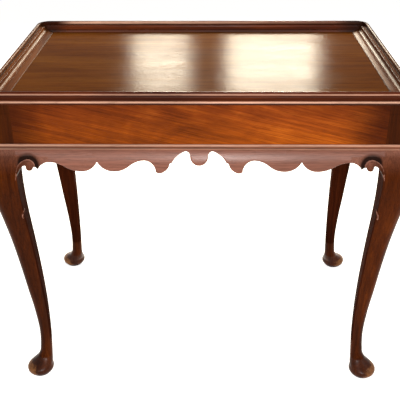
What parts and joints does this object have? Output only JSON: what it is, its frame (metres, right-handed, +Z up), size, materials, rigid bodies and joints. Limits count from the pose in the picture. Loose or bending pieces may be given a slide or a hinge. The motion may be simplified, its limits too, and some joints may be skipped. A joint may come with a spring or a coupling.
{
  "type": "tray top tea table",
  "caption": "Queen Anne style mahogany tea table: a coved, mitred tray on a plain frieze, a scalloped convex apron and cabriole legs with pad feet.",
  "frame": {"origin": "centre of the table's footprint, on the floor", "axes": "+X along the table's length, to the right as seen from the front; +Y towards its back; +Z up"},
  "size_m": [0.786, 0.498, 0.66],
  "materials": {
    "mahogany": "dark red-brown mahogany, old polish, satin",
    "tray_board": "faded mahogany board with a satin polish, grain along the length",
    "secondary_wood": "unfinished softwood, darkened with age"
  },
  "bodies": {
    "root": {"top_board": "tray_board", "rim_moulding_front": "mahogany", "frieze_rail_front": "mahogany", "bead_front": "mahogany", "apron_front": "mahogany", "glue_blocks_front": "secondary_wood", "rim_moulding_right": "mahogany", "frieze_rail_right": "mahogany", "bead_right": "mahogany", "apron_right": "mahogany", "glue_blocks_right": "secondary_wood", "rim_moulding_back": "mahogany", "frieze_rail_back": "mahogany", "bead_back": "mahogany", "apron_back": "mahogany", "glue_blocks_back": "secondary_wood", "rim_moulding_left": "mahogany", "frieze_rail_left": "mahogany", "bead_left": "mahogany", "apron_left": "mahogany", "glue_blocks_left": "secondary_wood", "knee_bracket_front_left": "mahogany", "knee_bracket_front_right": "mahogany", "knee_bracket_right_front": "mahogany", "knee_bracket_right_back": "mahogany", "knee_bracket_back_right": "mahogany", "knee_bracket_back_left": "mahogany", "knee_bracket_left_back": "mahogany", "knee_bracket_left_front": "mahogany", "leg_front_left": "mahogany", "corner_brace_front_left": "secondary_wood", "leg_front_right": "mahogany", "corner_brace_front_right": "secondary_wood", "leg_back_right": "mahogany", "corner_brace_back_right": "secondary_wood", "leg_back_left": "mahogany", "corner_brace_back_left": "secondary_wood"}
  },
  "joints": []
}
